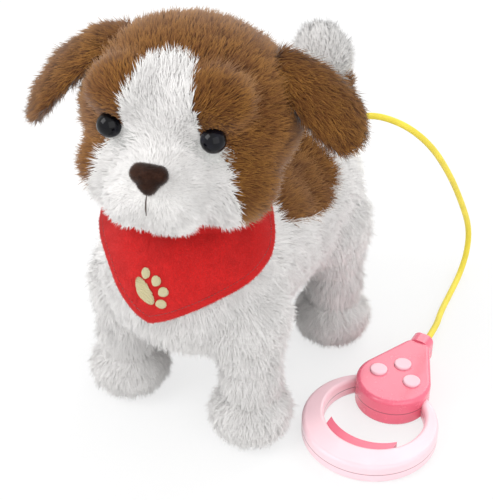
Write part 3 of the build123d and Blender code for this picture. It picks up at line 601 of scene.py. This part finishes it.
def ear_skin(name, line, widths, face_turn, thick):
    """A soft leaf along a line of points, in millimetres; face_turn tips its flat side."""
    steps, around = 26, 28
    line = [Vector(p) for p in line]
    bm = bmesh.new()
    rings = []
    for i in range(steps + 1):
        t = i / steps
        s = t * (len(line) - 1)
        k = min(int(s), len(line) - 2)
        f = s - k
        before, after = line[max(k - 1, 0)], line[min(k + 2, len(line) - 1)]
        here = 0.5 * ((2 * line[k]) + (line[k + 1] - before) * f
                      + (2 * before - 5 * line[k] + 4 * line[k + 1] - after) * f * f
                      + (3 * line[k] - before - 3 * line[k + 1] + after) * f ** 3)
        ahead = (line[k + 1] - line[k]).normalized()
        flat = Vector(face_turn)
        flat = (flat - ahead * flat.dot(ahead)).normalized()
        across = ahead.cross(flat)
        half = float(np.interp(t, np.linspace(0, 1, len(widths)), widths)) / 2
        ring = []
        for j in range(around):
            a = 2 * pi * j / around
            bulge = thick * (0.55 + 0.45 * sin(pi * min(1, t * 1.1))) * min(1, half / 9)
            droop = -0.10 * half * cos(a) ** 2
            ring.append(bm.verts.new((here + across * half * cos(a) + flat * (bulge * sin(a) + droop)) * MM))
        rings.append(ring)
    for low, high in zip(rings, rings[1:]):
        for j in range(around):
            bm.faces.new((low[j], low[(j + 1) % around], high[(j + 1) % around], high[j]))
    bm.faces.new(rings[0][::-1])
    bm.faces.new(rings[-1])
    bmesh.ops.recalc_face_normals(bm, faces=bm.faces)
    piece = new_piece(name, made_mesh(name, bm))
    remesh = piece.modifiers.new("even", "REMESH")
    remesh.mode, remesh.voxel_size = "VOXEL", 1.7 * MM
    smooth = piece.modifiers.new("smooth", "SMOOTH")
    smooth.factor, smooth.iterations = 0.5, 4
    return settle(piece)


class PUPPY_OT_ears(Operator):
    """Two floppy ears"""
    bl_idname = "puppy.ears"
    bl_label = "Ears"

    def execute(self, context):
        shapes = {
            "ear_right": (((-32, 3, 37), (-48, 1, 33), (-64, -1, 21), (-78, -3, 5), (-86, -3, -9)),
                          (26, 31, 34, 33, 15), (-0.45, -0.3, 0.85)),
            "ear_left": (((40, 8, 32), (54, 7, 26), (66, 6, 17), (76, 5, 7), (83, 4, -5)),
                         (20, 27, 32, 33, 17), (0.6, -0.5, 0.62)),
        }
        for seed, (name, (line, widths, flat)) in enumerate(shapes.items()):
            world = [HEAD @ Vector(p) for p in line]
            turn = HEAD.to_3x3() @ Vector(flat)
            form = ear_skin(name + "_form", world, widths, turn, 4.2)
            mesh = form.data
            points, normals = mesh_points(mesh) * 1000, mesh_normals(mesh)
            course = np.array(world[-1] - world[0])
            away = points - np.array(world[0])
            comb = tangent(np.tile(course / np.linalg.norm(course), (len(points), 1)) * 1.0
                           + 0.4 * away / np.maximum(np.linalg.norm(away, axis=1, keepdims=True), 1), normals)
            inside = np.linalg.norm(points - np.array(HEAD @ Vector((0, 3, 4))), axis=1)
            cover = np.clip((inside - 40) / 4, 0, 1)
            fur = grow_fur(name + "_fur", mesh, comb, np.full(len(points), 0.95), cover, "brown_hair",
                           length=7.5, width=0.34, dense=1.75, seed=21 + seed, rise=0.3)
            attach(fur, "torso")
            mesh.materials.append(finishes()["brown_plush"])
            form.name = name + "_panel"
            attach(form, "torso")
            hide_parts(name)
        return {"FINISHED"}


def body_skin():
    lumps = [((0, -39, 100), (52, 52, 52)), ((0, -8, 100), (52, 60, 50)), ((0, 20, 99), (52, 58, 49)),
             ((0, 44, 100), (53, 53, 52)), ((0, -42, 134), (38, 36, 22))]
    for x in (42, -42):
        lumps += [((x * 0.86, -50, 78), (23, 25, 27)), ((x * 0.84, 52, 80), (24, 27, 29))]
    return lumps_skin("body_form", lumps, grain=2.8, rounds=8)


def is_side_patch(point):
    """The brown patch sewn into the puppy's left flank."""
    outline = [(-24, 127), (8, 115), (26, 117), (38, 128), (39, 142), (30, 165), (-24, 165)]
    if point[0] < 8:
        return False
    inside, y, z = False, point[1], point[2]
    for (y0, z0), (y1, z1) in zip(outline, outline[1:] + outline[:1]):
        if (z0 > z) != (z1 > z) and y < (y1 - y0) * (z - z0) / (z1 - z0) + y0:
            inside = not inside
    return inside


def under_bandana(points):
    """1 where fur shows, 0 under the bandana, at points in millimetres."""
    show = np.ones(len(points))
    for i, (x, y, z) in enumerate(points):
        turn = degrees(atan2(x, TORSO_FRONT - y))
        if abs(turn) < WRAP and bandana_hem(turn) + 4 < z < bandana_top(turn) + 4:
            show[i] = 0
    return show


class PUPPY_OT_body(Operator):
    """Body panels with the side patch, and their fur"""
    bl_idname = "puppy.body"
    bl_label = "Body"

    def execute(self, context):
        form = body_skin()
        head_middle = np.array(HEAD @ Vector((0, 3, 4)))
        for name, keep, backing, hair, nodes, seed in (
                ("body_front", lambda p: not is_side_patch(p) and p.y < 12, "white_plush", "white_hair", (), 31),
                ("body_rear", lambda p: not is_side_patch(p) and p.y >= 12, "white_plush", "white_hair",
                 ("body_plush",), 32),
                ("flank_patch", is_side_patch, "brown_plush", "brown_hair", ("side_patch",), 33)):
            panel = from_faces(name, form.data, keep)
            points, normals = mesh_points(panel) * 1000, mesh_normals(panel)
            back = np.clip((points[:, 2:] - 96) / 50, 0, 1)
            down = np.array((0, 0.35, -1.0)) * (1 - back) + np.array((0, 1.0, 0.0)) * back
            cover = near(points, head_middle, 42, 46) * under_bandana(points)
            cover *= np.where(points[:, 2] < 50, 0.5, 1)
            fur = grow_fur(name + "_fur", panel, tangent(down, normals), np.full(len(points), 1.0), cover, hair,
                           length=8.5, dense=1.6, width=0.33, seed=seed, rise=0.42, scatter=0.42)
            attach(fur, "torso")
            backed(name, panel, backing, *nodes)
        bpy.data.objects.remove(form)
        return {"FINISHED"}


class PUPPY_OT_legs(Operator):
    """Four legs, each with its paw and fur"""
    bl_idname = "puppy.legs"
    bl_label = "Legs"

    def execute(self, context):
        for index, leg in enumerate(LEGS):
            x = 42 if leg.endswith("left") else -42
            y = -52 if leg.startswith("front") else 52
            lumps = [((x, y - 0.5, 15.5), (21.5, 22, 16)), ((x, y - 1, 9), (20, 20.5, 9.5)),
                     ((x, y, 42), (15.5, 16.5, 28)), ((x * 0.97, y, 62), (16.5, 18.5, 17))]
            form = lumps_skin("plush_" + leg, lumps, grain=2.2, rounds=6)
            mesh = form.data
            points = mesh_points(mesh)
            points[:, 2] = np.maximum(points[:, 2], 0.0016)
            mesh.vertices.foreach_set("co", points.ravel())
            mesh.update()
            points, normals = points * 1000, mesh_normals(mesh)
            comb = np.tile(np.array((0.0, 0.0, -1.0)), (len(points), 1))
            comb[:, 0] += (points[:, 0] - x) / 36
            comb[:, 1] += (points[:, 1] - y) / 36
            cover = np.clip((points[:, 2] - 1.2) / 1.5, 0, 1) * np.clip((78 - points[:, 2]) / 3, 0, 1)
            reach = np.clip(0.7 + points[:, 2] / 60, 0.7, 1)
            fur = grow_fur("fur_" + leg, mesh, tangent(comb, normals), reach, cover, "white_hair", length=7.5,
                           dense=1.8, width=0.32, seed=41 + index, rise=0.42, scatter=0.42)
            mesh.materials.append(finishes()["white_plush"])
            mesh.shade_smooth()
            for piece in (form, fur):
                hair = mesh_points(piece.data)
                if hair[:, 2].min() < 0.0004:
                    hair[:, 2] = np.maximum(hair[:, 2], 0.0004)
                    piece.data.vertices.foreach_set("co", hair.ravel())
                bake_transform(piece)
            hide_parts("leg_plush_" + leg)
        return {"FINISHED"}


class PUPPY_OT_tail(Operator):
    """Tail: brown base and white tuft"""
    bl_idname = "puppy.tail"
    bl_label = "Tail"

    def execute(self, context):
        for name, lumps, backing, hair, node, length, seed in (
                ("tail_base",
                 [((8, 106, 145), (12, 12, 12)), ((6, 103, 153), (11, 11, 9)),
                 ((7, 95, 145), (10, 11, 10)), ((5, 83, 143), (9.5, 11, 9.5))], "brown_plush",
                 "brown_hair", "tail_base_plush", 6.5, 51),
                ("tail_tuft", [((3, 102, 163), (15.5, 15, 15)), ((2, 100, 172), (12, 12, 10))], "white_plush",
                 "white_hair", "tail_tip_plush", 8.0, 52)):
            form = lumps_skin(name, lumps, grain=2.0, rounds=4)
            mesh = form.data
            points, normals = mesh_points(mesh) * 1000, mesh_normals(mesh)
            up = np.tile(np.array((-0.15, -0.1, 1.0)), (len(points), 1))
            cover = np.ones(len(points)) if name == "tail_tuft" else near(points, (3, 102, 163), 14.5, 15.5)
            reach = 0.3 + 0.7 * near(points, (16, 82, 140), 9, 16)      # short where the root passes the lead
            fur = grow_fur(name + "_fur", mesh, tangent(up, normals), reach, cover, hair,
                           length=length, width=0.34, dense=1.7, seed=seed, rise=0.7, scatter=0.6)
            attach(fur, "tail")
            mesh.materials.append(finishes()[backing])
            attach(form, "tail")
            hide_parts(node)
        return {"FINISHED"}


# ---- bandana ----
HEM_TURNS = (-165, -140, -115, -95, -75, -56, -30, -22, -10, 0, 7, 16, 25, 45, 62, 79, 95, 115, 140, 165)
HEM_HEIGHTS = (154, 151, 146, 139, 134, 129, 119, 115, 106, 98.5, 95, 98.5, 102.5, 111, 117, 124, 134, 144,
               151, 154)
WRAP = 165          # how far the cloth goes round the neck to each side, in degrees
COLLAR_TOP = 146    # of its upper edge in front, under the chin
HEM_TURNED = 4.6    # from the edge to the stitches
PAW_TURN, PAW_HEIGHT = 4.5, 113.5


def bandana_hem(turn):
    """Height of the bandana's lower edge, round the neck; turn is in degrees from straight ahead."""
    return float(np.interp(turn, HEM_TURNS, HEM_HEIGHTS))


def bandana_top(turn):
    """Height of its upper edge, which rises behind the neck."""
    return float(np.interp(abs(turn), (80, 125, 165), (COLLAR_TOP, 155, 162)))


def bandana_point(across, down, lift):
    """A point of the draped cloth; across runs -1 to 1 round the neck, down 0 at the top to 1 at the hem."""
    turn = across * WRAP
    low, top = bandana_hem(turn), bandana_top(turn)
    z = top + (low - top) * down
    ring = sqrt(max(0.0, (TORSO_RADIUS + 1.2 + lift) ** 2 - (z - TORSO_Z) ** 2))
    ring = max(ring, 40 - 0.25 * (z - 130) + lift)
    return Vector((ring * sin(radians(turn)), TORSO_FRONT - ring * cos(radians(turn)), z))


def fold_height(across, down):
    """How far the cloth stands off, in its soft folds."""
    wide = across * WRAP
    height = 1.1 * sin(wide / 10 + 1.3 * down) * down * (1 - 0.6 * abs(across))
    height += 1.0 * sin(wide / 5.5 - 2.0 + down * 2.2) * (1 - down) ** 2
    return height + 1.4 + 1.0 * down ** 3


class PUPPY_OT_bandana(Operator):
    """Velour bandana with its turned hem, stitches and embroidered paw"""
    bl_idname = "puppy.bandana"
    bl_label = "Bandana"

    def execute(self, context):
        wide, high = 210, 40
        bm = bmesh.new()
        grid = []
        for i in range(wide + 1):
            across = -1 + 2 * i / wide
            grid.append([bm.verts.new(bandana_point(across, j / high, fold_height(across, j / high)) * MM)
                         for j in range(high + 1)])
        for i in range(wide):
            for j in range(high):
                bm.faces.new((grid[i][j], grid[i][j + 1], grid[i + 1][j + 1], grid[i + 1][j]))
        cloth = new_piece("bandana_cloth", made_mesh("bandana_cloth", bm), "red_velour")
        wall = cloth.modifiers.new("two layers", "SOLIDIFY")
        wall.thickness, wall.offset = bpy.context.scene.puppy_sizes.bandana_thickness, 1
        settle(cloth)
        cloth.data.shade_smooth()
        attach(cloth, "torso")
        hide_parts("bandana")
        pieces = self.trims() + [self.nap(cloth.data)]
        for piece in pieces:
            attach(piece, "torso")
        return {"FINISHED"}

    def nap(self, mesh):
        """Short nap on the outer face."""
        points, normals = mesh_points(mesh) * 1000, mesh_normals(mesh)
        away = points - np.array((0, TORSO_FRONT, 100))
        cover = ((normals * away).sum(1) > 6) * 1.0
        comb = tangent(np.tile(np.array((0.3, 0.0, -1.0)), (len(points), 1)), normals)
        return grow_fur("bandana_nap", mesh, comb, np.ones(len(points)), cover, "red_nap", length=1.2, width=0.15,
                        dense=3.6, rise=0.8, scatter=0.8, seed=71)

    def trims(self):
        """Stitches inside the hem, and the paw."""
        pieces = []
        thick = bpy.context.scene.puppy_sizes.bandana_thickness * 1000

        def outer(across, down, over=0.0):
            lift = fold_height(across, down) + thick + over
            return bandana_point(across, down, lift)

        bm = bmesh.new()
        stitches = 190
        for k in range(stitches):
            ends = []
            for part in (0.18, 0.82):
                across = -0.98 + 1.96 * (k + part) / stitches
                depth = bandana_top(across * WRAP) - bandana_hem(across * WRAP)
                ends.append(outer(across, 1 - min(HEM_TURNED, 0.45 * depth) / depth, 0.1))
            add_thread(bm, ends, 0.38)
        pieces.append(new_piece("hem_stitches", made_mesh("hem_stitches", bm), "red_thread"))

        bm = bmesh.new()
        pads = [(0, 0, 7.6, 3.6, -50), (-0.5, 9.2, 2.5, 2.5, 0), (5.8, 6.9, 2.5, 2.5, -20),
                (9.9, 1.9, 2.5, 2.5, -50), (9.0, -4.8, 2.5, 2.5, -80)]
        for px, pz, rx, rz, turn in pads:
            rows = 13
            for r in range(rows):
                v = -1 + 2 * (r + 0.5) / rows
                half = rx * sqrt(1 - v * v)
                ends = []
                for s in np.linspace(-1, 1, 7):
                    u, w = s * half, v * rz
                    c, d = cos(radians(turn)), sin(radians(turn))
                    ax, az = px + u * c - w * d, pz + u * d + w * c
                    across = (PAW_TURN + ax * 1.06) / WRAP
                    down = (COLLAR_TOP - PAW_HEIGHT - az) / (COLLAR_TOP - bandana_hem(across * WRAP))
                    ends.append(outer(across, down, 0.5 + 0.45 * (1 - s * s)))
                add_thread(bm, ends, 0.4)
        pieces.append(new_piece("embroidered_paw", made_mesh("embroidered_paw", bm), "cream_thread"))
        return pieces


def add_thread(bm, line, radius, around=6):
    """A round closed thread along a line of points, in millimetres."""
    rings = []
    for i, spot in enumerate(line):
        ahead = (Vector(line[min(i + 1, len(line) - 1)]) - Vector(line[max(i - 1, 0)])).normalized()
        side = ahead.cross(Vector((0.3, -0.9, 0.2))).normalized()
        up = side.cross(ahead)
        size = radius * (0.55 if i in (0, len(line) - 1) else 1)
        rings.append([bm.verts.new((Vector(spot) + side * size * cos(2 * pi * j / around)
                                    + up * size * sin(2 * pi * j / around)) * MM) for j in range(around)])
    for low, high in zip(rings, rings[1:]):
        for j in range(around):
            bm.faces.new((low[j], low[(j + 1) % around], high[(j + 1) % around], high[j]))
    bm.faces.new(rings[0][::-1])
    bm.faces.new(rings[-1])
    bmesh.ops.recalc_face_normals(bm, faces=bm.faces)


class PUPPY_OT_face(Operator):
    """Nose with its short pile and the mouth stitch"""
    bl_idname = "puppy.face"
    bl_label = "Face"

    def execute(self, context):
        lumps = [((-2.2, -61.8, 1.8), (4.6, 4.8, 4.2)), ((6.2, -61.8, 1.8), (4.6, 4.8, 4.2)),
                 ((2, -62.5, 1.6), (6, 5.2, 4.7)), ((2, -63, -1.6), (5.2, 5.0, 4.8)),
                 ((2, -62.6, -4.2), (3.5, 4.4, 3.5))]
        form = lumps_skin("nose_form", lumps, grain=0.9, rounds=6, place=HEAD)
        mesh = form.data
        points, normals = mesh_points(mesh) * 1000, mesh_normals(mesh)
        away = points - np.array(HEAD @ Vector((2, -58, -1)))
        fur = grow_fur("nose_fur", mesh, tangent(away, normals), np.ones(len(points)), np.ones(len(points)),
                       "nose_hair", length=1.5, width=0.22, dense=6.0, rise=1.2, scatter=0.5, seed=61)
        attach(fur, "torso")
        mesh.materials.append(finishes()["nose_plush"])
        form.name = "nose_pad"
        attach(form, "torso")
        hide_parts("nose")
        bm = bmesh.new()
        mouth = ((2, -66.2, -7), (1.8, -67.2, -10.5), (1.6, -67.3, -14), (1.4, -66.5, -18))
        add_thread(bm, [HEAD @ Vector(p) for p in mouth], 0.42, 8)
        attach(new_piece("mouth_stitch", made_mesh("mouth_stitch", bm), "brown_thread"), "torso")
        return {"FINISHED"}


class PUPPY_OT_lead(Operator):
    """Soft lead from the rump to the handset"""
    bl_idname = "puppy.lead"
    bl_label = "Lead"

    def execute(self, context):
        sizes = bpy.context.scene.puppy_sizes
        route = [(24, 84, 132), (41, 84, 143), (64, 86, 142), (78, 101, 124), (84, 126, 92), (87, 150, 58),
                 (89, 167, 30), (91, 164, 13), (92, 151, 2.1), (94.5, 128, 2.1), (97, 102, 2.4), (103, 78, 9),
                 (103, 56, 9)]
        curve = bpy.data.curves.new("lead", "CURVE")
        curve.dimensions = "3D"
        curve.bevel_depth, curve.bevel_resolution = sizes.lead_diameter / 2, 5
        curve.use_fill_caps = True
        spline = curve.splines.new("NURBS")
        spline.points.add(len(route) - 1)
        for point, spot in zip(spline.points, route):
            point.co = (*(v * MM for v in spot), 1)
        spline.order_u = 3
        spline.use_endpoint_u = True
        spline.resolution_u = 12
        curve.materials.append(finishes()["yellow_cord"])
        lead = bpy.data.objects.new("lead", curve)
        bpy.context.scene.collection.objects.link(lead)
        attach(lead, "torso")
        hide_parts("lead_cord")
        return {"FINISHED"}


class PUPPY_OT_works(Operator):
    """Finishes of the handset, the soles and everything inside"""
    bl_idname = "puppy.works"
    bl_label = "Handset and works"

    def execute(self, context):
        slots = {part["node"]: part["material_slot"] for part in frame["record"]["subparts"]}
        for name, node in NODES.items():
            material = finishes()[slots[name]]
            node.data.materials.clear()
            node.data.materials.append(material)
        return {"FINISHED"}


class PUPPY_OT_stage(Operator):
    """Pale floor, soft lights and the camera"""
    bl_idname = "puppy.stage"
    bl_label = "Stage"

    def execute(self, context):
        scene = context.scene
        bm = bmesh.new()
        bmesh.ops.create_grid(bm, x_segments=1, y_segments=1, size=6)
        mesh = made_mesh("floor", bm)
        floor = new_piece("floor", mesh)
        paper = Finish("floor_paper", roughness=0.9, specular_ior_level=0.1)
        paper.shader.inputs["Base Color"].default_value = (0.86, 0.86, 0.86, 1)
        sees = seen_directly(paper)
        glow = paper.add("ShaderNodeEmission", {}, {"Color": (1, 1, 1, 1), "Strength": 1.0})
        lit = Value(paper, paper.shader.outputs[0])
        both = paper.add("ShaderNodeMixShader", {}, {0: sees * 0.72, 1: lit, 2: glow})
        paper.links.new(both.socket, paper.end.inputs["Surface"])
        mesh.materials.append(paper.material)

        world = bpy.data.worlds.new("studio")
        world.use_nodes = True
        world.node_tree.nodes.clear()
        sky = Tree(world.node_tree.nodes, world.node_tree.links)
        strength = 0.86 + seen_directly(sky) * 0.14
        backdrop = sky.add("ShaderNodeBackground", {}, {"Color": (1, 1, 1, 1), "Strength": strength})
        sky.add("ShaderNodeOutputWorld", {}, {"Surface": backdrop})
        scene.world = world

        for name, spot, size, power in (("key", (-0.75, -0.85, 1.15), 0.9, 11.0),
                                        ("fill", (0.95, -0.6, 0.7), 1.2, 4.6),
                                        ("rim", (0.1, 1.1, 0.9), 1.0, 7.0)):
            lamp = bpy.data.lights.new(name, "AREA")
            lamp.size, lamp.energy = size, power
            light = bpy.data.objects.new(name, lamp)
            scene.collection.objects.link(light)
            light.location = spot
            light.rotation_euler = facing(spot, (0, 0, 0.1))

        lens = bpy.data.cameras.new("camera")
        lens.sensor_fit, lens.sensor_height, lens.lens = "VERTICAL", 36.0, 79.35
        camera = bpy.data.objects.new("camera", lens)
        scene.collection.objects.link(camera)
        camera.location = (0.27471, -0.45787, 0.44977)
        camera.rotation_euler = facing(camera.location, (0.00624, 0.00397, 0.07946))
        scene.camera = camera
        scene.view_settings.view_transform = "Standard"
        return {"FINISHED"}


def facing(spot, target):
    """The turn that makes a lamp or camera at spot look at target."""
    return (Vector(target) - Vector(spot)).to_track_quat("-Z", "Y").to_euler()


def seen_directly(tree):
    """1 for what the camera sees directly, mirrored or through glass."""
    direct = tree.add("ShaderNodeLightPath")
    node = tree.last
    for name in ("Is Glossy Ray", "Is Transmission Ray"):
        direct = direct.maths("MAXIMUM", Value(tree, node.outputs[name]))
    return direct


# ---- add-on ----
def colour_property(name, description, colour):
    return FloatVectorProperty(name=name, description=description, default=from_srgb(*colour), min=0, max=1,
                               subtype="COLOR")


class PuppyColours(PropertyGroup):
    white_fur: colour_property("White Fur", "Body, face and legs", (240, 238, 236))
    brown_fur: colour_property("Brown Fur", "Head, ears and patch", (118, 70, 24))
    golden_tips: colour_property("Golden Tips", "Ends of the brown hairs", (160, 110, 45))
    nose: colour_property("Nose", "Short pile of the nose", (58, 30, 17))
    bandana: colour_property("Bandana", "Velour of the bandana", (214, 34, 34))
    lead: colour_property("Lead", "Soft vinyl of the lead", (240, 220, 70))
    housing: colour_property("Housing", "Plastic of the button housing", (236, 104, 130))
    ring: colour_property("Ring", "Plastic of the finger ring", (244, 206, 214))


class PuppySizes(PropertyGroup):
    fur_length: FloatProperty(name="Fur Length", description="Factor on the length of all hairs", default=1.0,
                              min=0.2, max=2.0, subtype="FACTOR")
    fur_density: FloatProperty(name="Fur Density", description="Hairs on each square metre of skin",
                               default=1.0e6, min=1e4, max=4e6)
    bandana_thickness: FloatProperty(name="Bandana Thickness", description="Both layers of the cloth",
                                     default=0.0022, min=0.0005, max=0.005, unit="LENGTH", subtype="DISTANCE")
    lead_diameter: FloatProperty(name="Lead Diameter", description="Across the lead", default=0.004, min=0.002,
                                 max=0.008, unit="LENGTH", subtype="DISTANCE")


PIECES = (PUPPY_OT_works, PUPPY_OT_head, PUPPY_OT_ears, PUPPY_OT_body, PUPPY_OT_legs, PUPPY_OT_tail,
          PUPPY_OT_bandana, PUPPY_OT_face, PUPPY_OT_lead, PUPPY_OT_stage)


class PUPPY_PT_panel(Panel):
    """Puppy pieces and their settings"""
    bl_label = "Plush puppy"
    bl_idname = "PUPPY_PT_panel"
    bl_space_type = "VIEW_3D"
    bl_region_type = "UI"
    bl_category = "Puppy"

    def draw(self, context):
        for group in (context.scene.puppy_sizes, context.scene.puppy_colours):
            for name in group.__annotations__:
                self.layout.prop(group, name)
        for piece in PIECES:
            self.layout.operator(piece.bl_idname)


CLASSES = (PuppyColours, PuppySizes, *PIECES, PUPPY_PT_panel)


def register():
    for cls in CLASSES:
        bpy.utils.register_class(cls)
    bpy.types.Scene.puppy_colours = PointerProperty(type=PuppyColours)
    bpy.types.Scene.puppy_sizes = PointerProperty(type=PuppySizes)


def unregister():
    del bpy.types.Scene.puppy_colours
    del bpy.types.Scene.puppy_sizes
    for cls in reversed(CLASSES):
        bpy.utils.unregister_class(cls)


def main():
    register()
    for piece in PIECES:
        group, name = piece.bl_idname.split(".")
        getattr(getattr(bpy.ops, group), name)()


if __name__ == "__main__":
    main()
